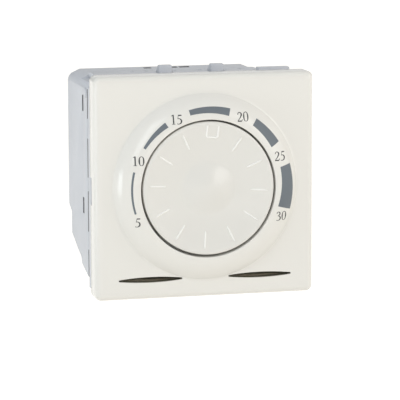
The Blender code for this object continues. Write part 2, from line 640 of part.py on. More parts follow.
def small_components():
    floor = POWER_HIGH + GAP
    chip = soft_box((-3.5, CONTROL_REAR + GAP, 6.5), (3.5, CONTROL_REAR + GAP + 1.1, 13.5), 0.12, 1)
    finish(chip, "microcontroller", "component_black")
    film = soft_box((-2.2, 7.2, floor), (8.4, 12.6, floor + 9.5), 0.5)
    finish(film, "film_capacitor", "component_yellow")
    can = turned([(0.0, 0.0), (2.9, 0.0), (3.15, 0.3), (3.15, 0.9), (2.85, 1.3), (3.15, 1.7),
                  (3.15, 10.6), (2.8, 11.0), (0.0, 11.0)], (13.4, 9.4, floor), 'Z')
    finish(can, "electrolytic_capacitor", "component_black")
    disc = turned([(0.0, -1.2), (3.2, -1.2), (3.7, -0.7), (3.7, 0.7), (3.2, 1.2), (0.0, 1.2)],
                  (13.4, 9.4, 12.6), 'Y')
    for x in (-2.2, 2.2):
        join(disc, rod(0.3, -3.0, 3.0, (13.4 + x, 9.4, 9.2), 'Z', 8))
    finish(disc, "varistor", "component_blue")
    resistor = turned([(0.0, -4.2), (1.5, -4.2), (1.7, -3.6), (1.4, -3.0), (1.4, 3.0), (1.7, 3.6),
                       (1.5, 4.2), (0.0, 4.2)], (2.6, 5.0, floor + 12.4), 'X', 16)
    finish(resistor, "dropper_resistor", "component_blue")
    bead = turned([(0.0, -1.3), (0.9, -1.0), (1.3, 0.0), (0.9, 1.0), (0.0, 1.3)],
                  (-VENT_CENTRE[0], -3.6, -17.4 + 0.6), 'Y', 16)
    for x in (-0.6, 0.6):
        join(bead, rod(0.22, -3.4, 0.2, (-VENT_CENTRE[0] + x, 0, -16.8 + 0.7), 'Y', 8))
    finish(bead, "temperature_sensor", "component_black")


def relay():
    """A single-pole relay: base, coil, yoke, hinged armature, contact post and shell."""
    x0, y0, z0 = RELAY_AT

    def block(low, high):
        return box((x0 + low[0], y0 + low[1], z0 + low[2]),
                   (x0 + high[0], y0 + high[1], z0 + high[2]))

    finish(block((-6.0, -3.2, 0.0), (6.0, 3.2, 1.5)), "relay_base", "component_black")
    coil = turned([(0.0, 1.9), (2.9, 1.9), (2.9, 2.5), (2.3, 2.5), (2.3, 7.6), (2.9, 7.6),
                   (2.9, 8.2), (1.4, 8.2), (1.4, 8.8), (0.0, 8.8)], (x0 - 1.6, y0, z0), 'Z')
    finish(coil, "relay_coil", "copper_winding")
    yoke = block((2.3, -2.3, 1.9), (3.2, 2.3, 9.2))
    join(yoke, block((2.8, -2.3, 1.9), (4.4, 2.3, 2.6)))
    finish(yoke, "relay_yoke", "zinc_steel")
    post = block((5.5, -1.5, 1.9), (5.9, 1.5, 5.6))
    join(post, rod(0.5, 5.3, 5.7, (x0, y0, z0 + 4.4), 'X', 8))
    finish(post, "relay_fixed_contact", "brass")
    armature = block((-4.4, -2.2, 9.6), (3.9, 2.2, 10.3))
    join(armature, block((3.8, -1.5, 3.6), (4.1, 1.5, 10.2)),
         rod(0.5, 4.0, 4.5, (x0, y0, z0 + 4.4), 'X', 8))
    finish(armature, "relay_armature", "zinc_steel", (x0 + 2.75, y0, z0 + 9.4))
    shell = block((-7.0, -4.2, 0.0), (7.0, 4.2, 12.6))
    cut(shell, block((-6.3, -3.5, -1.0), (6.3, 3.5, 11.9)))
    finish(shell, "relay_cover", "relay_shell")


def build():
    clear_scene()
    front_cover()
    knob_parts()
    potentiometer_case()
    carrier_frame()
    upper_latch(-1, "upper_latch_left")
    upper_latch(1, "upper_latch_right")
    rear_housing()
    terminal_block()
    for number, x in enumerate(CELL_CENTRES, start=1):
        contact_bar(x, f"contact_bar_{number}")
        terminal_screw(x, f"terminal_screw_{number}")
        wire_clamp(x, f"wire_clamp_{number}")
    boards()
    small_components()
    relay()


build()
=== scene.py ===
"""Looks of the wall thermostat: fine shells, the printed scale, materials, light and camera.

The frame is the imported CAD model: metres, +Z up, the cover faces -Y, and the origin lies in
the seat plane on the knob's axis. The shapes here are worked out in millimetres, and
to_metres() scales each finished piece.
"""
import json
import math

import bmesh
import bpy
from mathutils import Matrix, Quaternion, Vector


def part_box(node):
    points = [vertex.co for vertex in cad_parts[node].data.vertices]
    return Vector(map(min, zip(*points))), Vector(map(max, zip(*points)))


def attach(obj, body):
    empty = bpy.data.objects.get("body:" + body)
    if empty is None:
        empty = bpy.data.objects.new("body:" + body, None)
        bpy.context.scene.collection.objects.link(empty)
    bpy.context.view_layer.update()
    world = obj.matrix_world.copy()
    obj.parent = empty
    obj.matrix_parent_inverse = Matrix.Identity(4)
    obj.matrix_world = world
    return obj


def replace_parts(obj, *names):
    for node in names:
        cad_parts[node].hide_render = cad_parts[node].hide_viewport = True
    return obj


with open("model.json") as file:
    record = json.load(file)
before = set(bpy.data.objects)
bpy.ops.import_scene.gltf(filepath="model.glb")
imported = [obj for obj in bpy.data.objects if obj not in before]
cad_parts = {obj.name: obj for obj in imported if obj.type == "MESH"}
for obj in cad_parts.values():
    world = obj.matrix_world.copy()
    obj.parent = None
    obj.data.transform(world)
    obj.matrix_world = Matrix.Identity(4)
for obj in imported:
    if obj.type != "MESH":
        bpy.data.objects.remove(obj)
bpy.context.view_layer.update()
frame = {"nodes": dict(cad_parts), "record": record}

MM = 0.001


def millimetres(node):
    """A CAD node's lowest and highest corner, in millimetres."""
    low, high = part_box(node)
    return low / MM, high / MM


# ---- sizes, in millimetres ---------------------------------------------------------
COVER_LOW, COVER_HIGH = millimetres("front_cover")
KNOB_LOW = millimetres("knob_cap")[0]

HALF = COVER_HIGH.x                     # half the cover's width and height
COVER_FRONT = -7.5                      # Y of the cover's flat front
COVER_REAR = -2.5                       # Y of its side walls' rear edges
COVER_WALL = 1.6
CORNER_RADIUS = 1.25
EDGE_RADIUS = 1.2
CUSHION_REACH, CUSHION_FALL = 4.5, 0.16     # the front falls back a little near its edges
EASE = 0.15                             # small easing of an edge

RING_TOP = COVER_FRONT - COVER_LOW.y    # how far the ring stands out of the flat front
RING_RADIUS = 18.8
RING_CREST, RING_SHOULDER = 2.2, 0.85   # powers that shape the ring: flat on top, full outside
FOOT_FILLET, FOOT_REACH = 0.12, 0.5     # height and reach of the fillet at the ring's foot
HOLE_RADIUS = 13.85
HOLE_DROP = 0.08                        # the dial's opening sits this much low of the knob
HOLE_EDGE = 0.14
FLOOR_FRONT, FLOOR_REAR = -6.6, -5.6    # dial floor behind the knob
HUB_HOLE = 4.5

KNOB_RADIUS = 13.4
KNOB_FRONT = KNOB_LOW.y
KNOB_RIM = 0.34
FACE_RADIUS = 13.0
DISH_RADIUS, DISH_DEPTH = 12.7, 1.15
DOME_RADIUS, DOME_HEIGHT, DOME_FULLNESS = 5.7, 1.3, 1.6
POINTER_TURN = 4.0                      # degrees clockwise at rest

VENT_CENTRE = (11.3, -18.5)
VENT_LENGTH, VENT_HEIGHT = 12.9, 1.05
WINDOW_MIDDLES = (15.95, -4.95)         # Z of the body's side windows
LEG_HALF_WIDTH = 1.3                    # of the cover's legs, which hook into the windows
LEG_INSIDE, LEG_OUTSIDE, BARB_TIP = 19.0, 20.1, 21.7
BARB_FRONT = 5.2                        # Y of the catch on the cover's legs
PRY_NOTCH = (-3.6, 2.1)                 # Z span of the notch in the cover's left wall
PRY_NOTCH_FRONT = -4.1


# ---- mesh helpers ------------------------------------------------------------------
def new_piece(name, vertices, faces, smooth=35.0):
    """A mesh object from points in millimetres, faces pointing out."""
    mesh = bpy.data.meshes.new(name)
    mesh.from_pydata(vertices, [], faces)
    bm = bmesh.new()
    bm.from_mesh(mesh)
    bmesh.ops.recalc_face_normals(bm, faces=bm.faces)
    bm.to_mesh(mesh)
    bm.free()
    obj = bpy.data.objects.new(name, mesh)
    bpy.context.scene.collection.objects.link(obj)
    set_smooth(obj, smooth)
    return obj


def set_smooth(obj, angle):
    obj.data.shade_smooth()
    obj.data.set_sharp_from_angle(angle=math.radians(angle))


def to_metres(obj):
    obj.data.transform(Matrix.Scale(MM, 4))
    return obj


def grid_faces(rows, columns, wrap_rows=False, wrap_columns=False):
    """The quads of a grid of points that are numbered row by row."""
    faces = []
    for row in range(rows if wrap_rows else rows - 1):
        below = (row + 1) % rows
        for column in range(columns if wrap_columns else columns - 1):
            after = (column + 1) % columns
            faces.append((row * columns + column, row * columns + after,
                          below * columns + after, below * columns + column))
    return faces


def evaluated_mesh(obj):
    """The object's mesh with its modifiers applied."""
    graph = bpy.context.evaluated_depsgraph_get()
    return bpy.data.meshes.new_from_object(obj.evaluated_get(graph))


def boolean(target, tool, operation):
    """Applies one Boolean tool to the target and removes the tool."""
    step = target.modifiers.new(operation.lower(), 'BOOLEAN')
    step.operation = operation
    step.solver = 'EXACT'
    step.object = tool
    target.data = evaluated_mesh(target)
    target.modifiers.remove(step)
    bpy.data.objects.remove(tool, do_unlink=True)


def prism(name, outline, axis, start, end):
    """A closed outline extruded along X (0), Y (1) or Z (2)."""
    others = [i for i in range(3) if i != axis]
    vertices = []
    for level in (start, end):
        for pair in outline:
            point = [0.0, 0.0, 0.0]
            point[axis] = level
            point[others[0]], point[others[1]] = pair
            vertices.append(point)
    count = len(outline)
    faces = [tuple(range(count)), tuple(reversed(range(count, 2 * count)))]
    faces += grid_faces(2, count, wrap_columns=True)
    return new_piece(name, vertices, faces)


# ---- surfaces of the cover and knob ------------------------------------------------
def ring_height(radius):
    """Height of the raised ring over the flat front, at a distance from the dial's axis."""
    span = RING_RADIUS - HOLE_RADIUS
    t = min(max((radius - HOLE_RADIUS) / span, 0.0), 1.0)
    foot = FOOT_FILLET * max(0.0, 1 - abs(radius - RING_RADIUS) / FOOT_REACH) ** 2
    return RING_TOP * (1 - t ** RING_CREST) ** RING_SHOULDER + foot


def knob_depth(radius):
    """How far the knob's face lies behind its rim: a shallow dish with a domed middle."""
    dish = DISH_DEPTH * (1 - min(radius / DISH_RADIUS, 1.0) ** 2)
    t = min(radius / DOME_RADIUS, 1.0)
    dome = DOME_HEIGHT * (1 - t * t) ** DOME_FULLNESS
    return dish - dome


def cushion(distance):
    """How far the flat front falls back near its edges, at a distance from the edge."""
    t = min(max(1 - distance / CUSHION_REACH, 0.0), 1.0)
    return CUSHION_FALL * t * t


def square_outline(inset, side_steps=56, corner_steps=8):
    """The cover's outline, inset, as (x, z) points with a fixed count and order."""
    half = HALF - inset
    radius = max(CORNER_RADIUS - inset, 0.25)
    points = []
    for turn, (sx, sz) in enumerate([(1, 1), (-1, 1), (-1, -1), (1, -1)]):
        centre = (sx * (half - radius), sz * (half - radius))
        for step in range(corner_steps + 1):
            angle = math.pi / 2 * (turn + step / corner_steps)
            points.append((centre[0] + radius * math.cos(angle),
                           centre[1] + radius * math.sin(angle)))
        following = math.pi / 2 * (turn + 1)
        nx, nz = [(-1, 1), (-1, -1), (1, -1), (1, 1)][turn]
        goal = (nx * (half - radius) + radius * math.cos(following),
                nz * (half - radius) + radius * math.sin(following))
        start = points[-1]
        for step in range(1, side_steps):
            t = step / side_steps
            points.append((start[0] + (goal[0] - start[0]) * t,
                           start[1] + (goal[1] - start[1]) * t))
    return points


def lens_outline(centre_x, centre_z, grow=0.0, steps=20):
    """An air slot's outline: bowed long sides and blunt ends."""
    length, height = VENT_LENGTH + grow, VENT_HEIGHT + grow
    end_height = 0.3 * height
    upper = []
    for step in range(steps + 1):
        t = 2 * step / steps - 1
        rise = end_height + (height - end_height) * (1 - t * t)
        upper.append((centre_x + t * length / 2, rise / 2))
    lower = [(x, -rise) for x, rise in reversed(upper)]
    return [(x, centre_z + z) for x, z in upper + lower]


FLAT_INSET = 3.0                        # the flat front's grid is round inside, square outside
FLAT_ANGLES = [math.atan2(x, z) for x, z in square_outline(FLAT_INSET)]


def circle(radius, y):
    """A row of points round the dial's axis, as many as in the cover's outline."""
    drop = HOLE_DROP if radius <= HOLE_RADIUS + 0.2 else 0.0
    return [(radius * math.sin(a), y, radius * math.cos(a) - drop) for a in FLAT_ANGLES]


def square(inset, y):
    """A row of points along the cover's outline."""
    return [(x, y, z) for x, z in square_outline(inset)]


def dial_rows():
    """From the hub hole over the dial floor, up the opening's wall and over the ring."""
    rows = [circle(HUB_HOLE, FLOOR_REAR), circle(HUB_HOLE, FLOOR_FRONT + EASE),
            circle(HUB_HOLE + EASE, FLOOR_FRONT)]
    rows += [circle(radius, FLOOR_FRONT) for radius in (7.0, 10.0, 12.5, 13.6)]
    rows += [circle(HOLE_RADIUS - 0.05, FLOOR_FRONT - 0.08),
             circle(HOLE_RADIUS, FLOOR_FRONT - 0.3)]
    crest = COVER_FRONT - ring_height(HOLE_RADIUS)
    rows.append(circle(HOLE_RADIUS, crest + 1.4))
    edge_steps, ring_steps = 5, 26
    for step in range(edge_steps + 1):
        angle = math.pi / 2 * step / edge_steps
        rows.append(circle(HOLE_RADIUS + HOLE_EDGE * (1 - math.cos(angle)),
                           crest + HOLE_EDGE * (1 - math.sin(angle))))
    width = RING_RADIUS - HOLE_RADIUS - HOLE_EDGE
    for step in range(1, ring_steps + 1):
        radius = HOLE_RADIUS + HOLE_EDGE + width * (step / ring_steps) ** 0.8
        rows.append(circle(radius, COVER_FRONT - ring_height(radius)))
    for step in range(1, 5):
        radius = RING_RADIUS + FOOT_REACH * step / 5
        rows.append(circle(radius, COVER_FRONT - ring_height(radius)))
    return rows


def front_rows():
    """Over the flat front, from the ring's foot to the start of the edge."""
    foot = circle(RING_RADIUS + FOOT_REACH, COVER_FRONT)
    boundary = square(FLAT_INSET, COVER_FRONT + cushion(FLAT_INSET))
    rows = [foot]
    steps = 12
    for step in range(1, steps):
        row = []
        for near, far in zip(foot, boundary):
            x = near[0] + (far[0] - near[0]) * step / steps
            z = near[2] + (far[2] - near[2]) * step / steps
            distance = HALF - max(abs(x), abs(z))
            row.append((x, COVER_FRONT + cushion(distance), z))
        rows.append(row)
    return rows + [square(inset, COVER_FRONT + cushion(inset))
                   for inset in (FLAT_INSET, 2.3, 1.6)]


def side_rows():
    """Round the edge and along the side walls to their rear edges and in."""
    start_y = COVER_FRONT + cushion(EDGE_RADIUS)
    steps = 10
    rows = []
    for step in range(steps + 1):
        angle = math.pi / 2 * step / steps
        rows.append(square(EDGE_RADIUS * (1 - math.sin(angle)),
                           start_y + EDGE_RADIUS * (1 - math.cos(angle))))
    rear = [(0.0, -4.5), (0.0, COVER_REAR - 0.2), (0.06, COVER_REAR - 0.06), (0.2, COVER_REAR),
            (COVER_WALL - EASE, COVER_REAR), (COVER_WALL, COVER_REAR - EASE)]
    return rows + [square(inset, y) for inset, y in rear]


def inside_rows():
    """The inside: side walls, back of the front, the hollow of the ring and the dial floor."""
    back = COVER_FRONT + COVER_WALL
    rows = [square(COVER_WALL, back + 0.4), square(COVER_WALL + 0.12, back + 0.12),
            square(COVER_WALL + 0.4, back)]
    rim = circle(17.6, back)
    for f in (0.3, 0.6, 0.85):
        rows.append([tuple(a + (b - a) * f for a, b in zip(p, q)) for p, q in zip(rows[2], rim)])
    hollow = [(17.2, COVER_FRONT - 0.4), (16.2, COVER_FRONT - 1.2), (15.5, COVER_FRONT - 1.3),
              (15.2, COVER_FRONT - 0.9), (15.2, FLOOR_REAR - EASE), (15.2 - EASE, FLOOR_REAR),
              (10.0, FLOOR_REAR)]
    return rows + [rim] + [circle(radius, y) for radius, y in hollow]


def vent_cutter(side):
    """A lens-shaped cutter with a flared mouth, which leaves a small chamfer."""
    levels = [(0.9, COVER_FRONT - 1.0), (0.16, COVER_FRONT - 0.02), (0.0, COVER_FRONT + 0.14),
              (0.0, COVER_FRONT + 3.0)]
    vertices = []
    for grow, y in levels:
        outline = lens_outline(side * VENT_CENTRE[0], VENT_CENTRE[1], grow)
        vertices += [(x, y, z) for x, z in outline]
    count = len(vertices) // len(levels)
    faces = grid_faces(len(levels), count, wrap_columns=True)
    faces += [tuple(range(count)), tuple(reversed(range(len(vertices) - count, len(vertices))))]
    return new_piece("vent_cutter", vertices, faces)


def snap_leg(side, middle_z):
    """A leg of the cover, with a barb that catches in a window of the body."""
    root, tip = COVER_FRONT + 0.8, BARB_FRONT + 2.0
    outline = [(LEG_INSIDE, root), (LEG_OUTSIDE, root), (LEG_OUTSIDE, BARB_FRONT),
               (BARB_TIP, BARB_FRONT), (BARB_TIP, BARB_FRONT + 0.2),
               (LEG_OUTSIDE, BARB_FRONT + 0.8), (LEG_OUTSIDE, tip), (LEG_INSIDE, tip)]
    return prism("leg", [(side * x, y) for x, y in outline], 2,
                 middle_z - LEG_HALF_WIDTH, middle_z + LEG_HALF_WIDTH)


def pry_notch_cutter():
    """Cuts the notch for a screwdriver into the rear edge of the left wall."""
    low, high = PRY_NOTCH
    behind, corner = COVER_REAR + 1, 0.3
    outline = [(behind, low), (PRY_NOTCH_FRONT + corner, low), (PRY_NOTCH_FRONT, low + corner),
               (PRY_NOTCH_FRONT, high - corner), (PRY_NOTCH_FRONT + corner, high), (behind, high)]
    return prism("notch", outline, 0, -HALF - 1, -HALF + 1.2)


def cover_shell():
    """The cover: one closed grid that runs out over the front and back on the inside."""
    rows = dial_rows() + front_rows() + side_rows() + inside_rows()
    vertices = [point for row in rows for point in row]
    faces = grid_faces(len(rows), len(rows[0]), wrap_rows=True, wrap_columns=True)
    cover = new_piece("cover_shell", vertices, faces)
    for side in (-1, 1):
        boolean(cover, vent_cutter(side), 'DIFFERENCE')
        for middle_z in WINDOW_MIDDLES:
            boolean(cover, snap_leg(side, middle_z), 'UNION')
    boolean(cover, pry_notch_cutter(), 'DIFFERENCE')
    set_smooth(cover, 32.0)
    return to_metres(cover)


def turned_grid(profile, sides):
    """A closed turned surface about the Y axis from (radius, y) points, poles at both ends."""
    rings = [point for point in profile if point[0] > 0]
    vertices = []
    for radius, y in rings:
        for step in range(sides):
            angle = 2 * math.pi * step / sides
            vertices.append((radius * math.sin(angle), y, radius * math.cos(angle)))
    faces = grid_faces(len(rings), sides, wrap_columns=True)
    first, last = len(vertices), len(vertices) + 1
    vertices += [(0.0, profile[0][1], 0.0), (0.0, profile[-1][1], 0.0)]
    base = (len(rings) - 1) * sides
    for step in range(sides):
        after = (step + 1) % sides
        faces.append((first, after, step))
        faces.append((last, base + step, base + after))
    return vertices, faces


def knob_shell():
    """The knob: a cap with a dished and domed face, a skirt and a hub that takes the shaft."""
    face_steps, rim_steps = 63, 7
    profile = []
    for step in range(face_steps + 1):
        radius = FACE_RADIUS * step / face_steps
        profile.append((radius, KNOB_FRONT + knob_depth(radius)))
    for step in range(1, rim_steps + 1):
        angle = math.pi / 2 * step / rim_steps
        profile.append((KNOB_RADIUS - KNOB_RIM + KNOB_RIM * math.sin(angle),
                        KNOB_FRONT + 0.03 + KNOB_RIM * (1 - math.cos(angle))))
    skirt_rear, ceiling, hub_rear = -7.0, -8.4, -4.9
    profile += [(KNOB_RADIUS, skirt_rear - EASE), (KNOB_RADIUS - EASE, skirt_rear),
                (12.2 + EASE, skirt_rear), (12.2, skirt_rear - EASE),
                (12.2, ceiling + 0.2), (12.0, ceiling), (4.2, ceiling), (4.0, ceiling + 0.2),
                (4.0, hub_rear - 0.1), (3.9, hub_rear), (3.35, hub_rear), (3.3, hub_rear - 0.05),
                (3.3, ceiling - 0.2), (0.0, ceiling - 0.2)]
    knob = new_piece("knob_shell", *turned_grid(profile, 240))
    set_smooth(knob, 32.0)
    knob.data.transform(Matrix.Rotation(math.radians(POINTER_TURN), 4, 'Y'))
    return to_metres(knob)


# ---- thin raised and printed work --------------------------------------------------
def knob_surface(x, z):
    """Y of the knob's face."""
    return KNOB_FRONT + knob_depth(math.hypot(x, z))


def cover_surface(x, z):
    """Y of the cover's front, the ring included."""
    radius = math.hypot(x, z)
    if radius < RING_RADIUS + FOOT_REACH:
        return COVER_FRONT - ring_height(radius)
    return COVER_FRONT + cushion(HALF - max(abs(x), abs(z)))


def smooth_path(points, steps=8):
    """Catmull-Rom through (x, z, width) points."""
    padded = [points[0]] + list(points) + [points[-1]]
    path = []
    for i in range(1, len(padded) - 2):
        for step in range(steps):
            t = step / steps
            path.append(tuple(
                0.5 * (2 * b + (c - a) * t + (2 * a - 5 * b + 4 * c - d) * t * t
                       + (3 * b - a - 3 * c + d) * t ** 3)
                for a, b, c, d in zip(*padded[i - 1:i + 3])))
    path.append(tuple(points[-1]))
    return path


def ribbon(path, surface, profile, sink):
    """A strip along an (x, z, width) path, rooted in a surface. profile lists (across, height)."""
    vertices = []
    across = len(profile) + 2
    for index, (x, z, width) in enumerate(path):
        before = path[max(index - 1, 0)]
        after = path[min(index + 1, len(path) - 1)]
        run = Vector((after[0] - before[0], after[1] - before[1]))
        run = run.normalized() if run.length > 1e-9 else Vector((1.0, 0.0))
        side = Vector((-run.y, run.x))
        spots = [(profile[0][0], -sink)] + list(profile) + [(profile[-1][0], -sink)]
        for offset, height in spots:
            px = x + side.x * offset * width
            pz = z + side.y * offset * width
            vertices.append((px, surface(px, pz) - height, pz))
    faces = grid_faces(len(path), across, wrap_columns=True)
    faces.append(tuple(range(across)))
    faces.append(tuple(reversed(range(len(vertices) - across, len(vertices)))))
    return vertices, faces


def merge_parts(name, parts, smooth=60.0):
    """One mesh object out of several (vertices, faces) lists."""
    vertices, faces = [], []
    for some_vertices, some_faces in parts:
        base = len(vertices)
        vertices += some_vertices
        faces += [tuple(base + index for index in face) for face in some_faces]
    return new_piece(name, vertices, faces, smooth)


RIDGE = [(-0.5, 0.0), (-0.38, 0.09), (-0.18, 0.135), (0.0, 0.15), (0.18, 0.135), (0.38, 0.09),
         (0.5, 0.0)]
RIDGE_SINK, PRINT_SINK = 0.1, 0.05      # how deep raised and printed work is rooted
TICK_PITCH = 30                         # degrees
TICK_INSIDE, TICK_LENGTH, TICK_WIDTH = 8.7, 3.4, 0.34
POINTER_OUTLINE = [(-1.15, 12.6), (-1.15, 10.5), (-0.85, 10.2), (0.85, 10.2), (1.15, 10.5),
                   (1.15, 12.6)]
POINTER_LINE = 0.36


def tick(angle):
    """One raised line on the knob's face, narrow at its ends."""
    path = []
    steps = 12
    for step in range(steps + 1):
        t = step / steps
        radius = TICK_INSIDE + TICK_LENGTH * t
        width = TICK_WIDTH * min(1.0, 0.35 + 6 * min(t, 1 - t))
        path.append((radius * math.sin(angle), radius * math.cos(angle), width))
    return ribbon(path, knob_surface, RIDGE, RIDGE_SINK)


def pointer():
    """The raised border of the pointer, open towards the rim."""
    steps = 6
    turn = math.radians(POINTER_TURN)
    outline = []
    for (x0, z0), (x1, z1) in zip(POINTER_OUTLINE, POINTER_OUTLINE[1:]):
        for step in range(steps):
            t = step / steps
            outline.append((x0 + (x1 - x0) * t, z0 + (z1 - z0) * t))
    outline.append(POINTER_OUTLINE[-1])
    path = [(x * math.cos(turn) + z * math.sin(turn), z * math.cos(turn) - x * math.sin(turn),
             POINTER_LINE) for x, z in outline]
    return ribbon(path, knob_surface, RIDGE, RIDGE_SINK)


def knob_marks():
    """Eleven ticks and the bordered pointer, moulded on the knob's face."""
    parts = [tick(math.radians(TICK_PITCH * number + POINTER_TURN)) for number in range(1, 12)]
    return to_metres(merge_parts("knob_marks", parts + [pointer()]))


PRINT_THICKNESS = 0.016
PRINT = [(step / 14 - 0.5, PRINT_THICKNESS) for step in range(15)]
ARCS = [                        # from, to (degrees clockwise), middle radius, width at each end
    (-107.2, -76.0, 15.62, 0.36, 0.40),
    (-57.2, -33.2, 15.53, 0.50, 1.10),
    (-14.2, 16.0, 15.72, 1.05, 1.50),
    (36.3, 58.9, 16.10, 1.60, 2.05),
    (75.8, 106.4, 16.42, 2.40, 3.05),
]


def scale_arcs():
    """The printed arcs, each one wider than the last."""
    parts = []
    steps = 48
    for start, end, radius, first_width, last_width in ARCS:
        path = []
        for step in range(steps + 1):
            t = step / steps
            angle = math.radians(start + (end - start) * t)
            path.append((radius * math.sin(angle), radius * math.cos(angle),
                         first_width + (last_width - first_width) * t))
        parts.append(ribbon(path, cover_surface, PRINT, PRINT_SINK))
    return to_metres(merge_parts("scale_arcs", parts))


# strokes of each numeral in a cell one unit high: (x, z, width)
THIN, MID, THICK = 0.040, 0.075, 0.125
NUMERALS = {
    "0": [[(0.25, 0.985, THIN), (0.10, 0.86, MID), (0.055, 0.5, THICK), (0.10, 0.14, MID),
           (0.25, 0.015, THIN), (0.40, 0.14, MID), (0.445, 0.5, THICK), (0.40, 0.86, MID),
           (0.25, 0.985, THIN)]],
    "1": [[(0.27, 0.99, 0.11), (0.27, 0.6, 0.11), (0.27, 0.02, 0.11)],
          [(0.11, 0.86, THIN), (0.19, 0.91, 0.06), (0.27, 0.97, 0.05)],
          [(0.12, 0.018, THIN), (0.27, 0.02, THIN), (0.42, 0.018, THIN)]],
    "2": [[(0.05, 0.74, MID), (0.10, 0.90, 0.06), (0.23, 0.965, 0.06), (0.37, 0.86, 0.10),
           (0.38, 0.68, THICK), (0.27, 0.42, 0.08), (0.14, 0.22, 0.06), (0.03, 0.05, THIN)],
          [(0.03, 0.05, 0.09), (0.25, 0.05, 0.10), (0.42, 0.05, 0.10)],
          [(0.39, 0.06, 0.06), (0.44, 0.13, 0.05), (0.475, 0.24, THIN)]],
    "3": [[(0.07, 0.80, MID), (0.13, 0.93, 0.05), (0.24, 0.97, 0.06), (0.36, 0.87, 0.10),
           (0.36, 0.70, 0.10), (0.26, 0.58, 0.05), (0.16, 0.53, THIN)],
          [(0.16, 0.53, THIN), (0.30, 0.50, 0.06), (0.41, 0.37, 0.11), (0.40, 0.18, 0.11),
           (0.28, 0.05, 0.06), (0.15, 0.02, 0.05), (0.05, 0.07, MID)]],
    "5": [[(0.14, 0.93, 0.09), (0.28, 0.93, 0.10), (0.44, 0.94, 0.09)],
          [(0.16, 0.95, THIN), (0.13, 0.77, THIN), (0.09, 0.57, THIN)],
          [(0.09, 0.57, THIN), (0.22, 0.60, 0.06), (0.36, 0.50, 0.10), (0.415, 0.32, THICK),
           (0.36, 0.13, 0.11), (0.22, 0.03, 0.06), (0.12, 0.02, 0.05), (0.04, 0.07, MID)]],
}
NUMERAL_HEIGHT = 1.86
NUMERAL_WIDTH = 1.2 * NUMERAL_HEIGHT    # the digits are printed wider than they are drawn
STROKE_WEIGHT = 1.2 * NUMERAL_HEIGHT
CELL_WIDTH, CELL_STEP = 0.5, 0.56       # of a drawn digit, and to the next one
LABELS = [                      # text, radius and angle of its middle
    ("5", 15.79, -113.7), ("10", 15.55, -67.3), ("15", 15.48, -25.1),
    ("20", 15.78, 26.5), ("25", 15.90, 68.1), ("30", 16.35, 112.5),
]


def scale_numerals():
    """The printed numbers, upright, each centred on its place along the ring."""
    parts = []
    for text, radius, angle in LABELS:
        turn = math.radians(angle)
        width = (CELL_WIDTH + CELL_STEP * (len(text) - 1)) * NUMERAL_WIDTH
        left = radius * math.sin(turn) - width / 2
        low = radius * math.cos(turn) - NUMERAL_HEIGHT / 2
        for place, digit in enumerate(text):
            shift = left + place * CELL_STEP * NUMERAL_WIDTH
            for stroke in NUMERALS[digit]:
                path = [(shift + x * NUMERAL_WIDTH, low + z * NUMERAL_HEIGHT, w * STROKE_WEIGHT)
                        for x, z, w in smooth_path(stroke)]
                parts.append(ribbon(path, cover_surface, PRINT, PRINT_SINK))
    return to_metres(merge_parts("scale_numerals", parts))


# ---- refined copies of CAD nodes ---------------------------------------------------
WELD = 0.002                            # corners closer than this are one
SHARP_ANGLE = 30.0                      # degrees between two faces that get a rounded edge


def refined(node, name, width):
    """A copy of a CAD node with clean flat faces and small rounded edges, in its place."""
    copy = bpy.data.objects.new(name, frame["nodes"][node].data.copy())
    bpy.context.scene.collection.objects.link(copy)
    copy.data.materials.clear()
    copy.data.transform(Matrix.Scale(1 / MM, 4))
    bm = bmesh.new()
    bm.from_mesh(copy.data)
    bmesh.ops.remove_doubles(bm, verts=bm.verts, dist=WELD)
    bmesh.ops.dissolve_limit(bm, angle_limit=math.radians(1.0), verts=bm.verts, edges=bm.edges)
    bm.to_mesh(copy.data)
    bm.free()
    step = copy.modifiers.new("edges", 'BEVEL')
    step.width = width
    step.segments = 2
    step.limit_method = 'ANGLE'
    step.angle_limit = math.radians(SHARP_ANGLE)
    step.use_clamp_overlap = True
    copy.data = evaluated_mesh(copy)
    copy.modifiers.clear()
    set_smooth(copy, 40.0)
    return to_metres(copy)


# ---- shader helpers ----------------------------------------------------------------
def coordinates(tree, kind):
    """Texture coordinates of a kind, as one vector."""
    return tree.nodes.new("ShaderNodeTexCoord").outputs[kind]


def separate(tree, vector):
    """The X, Y and Z outputs of a vector."""
    parts = tree.nodes.new("ShaderNodeSeparateXYZ")
    tree.links.new(vector, parts.inputs["Vector"])
    return parts.outputs


def noise(tree, scale, detail):
    texture = tree.nodes.new("ShaderNodeTexNoise")
    texture.inputs["Scale"].default_value = scale
    texture.inputs["Detail"].default_value = detail
    tree.links.new(coordinates(tree, "Object"), texture.inputs["Vector"])
    return texture.outputs["Fac"]


def map_range(tree, value, source, target, smooth=False):
    """Maps a value from one range of numbers to another."""
    ramp = tree.nodes.new("ShaderNodeMapRange")
    if smooth:
        ramp.interpolation_type = 'SMOOTHSTEP'
    ramp.inputs["From Min"].default_value, ramp.inputs["From Max"].default_value = source
    ramp.inputs["To Min"].default_value, ramp.inputs["To Max"].default_value = target
    tree.links.new(value, ramp.inputs["Value"])
    return ramp.outputs["Result"]


def combine(tree, operation, first, second):
    """A math node over two values."""
    step = tree.nodes.new("ShaderNodeMath")
    step.operation = operation
    tree.links.new(first, step.inputs[0])
    tree.links.new(second, step.inputs[1])
    return step.outputs["Value"]


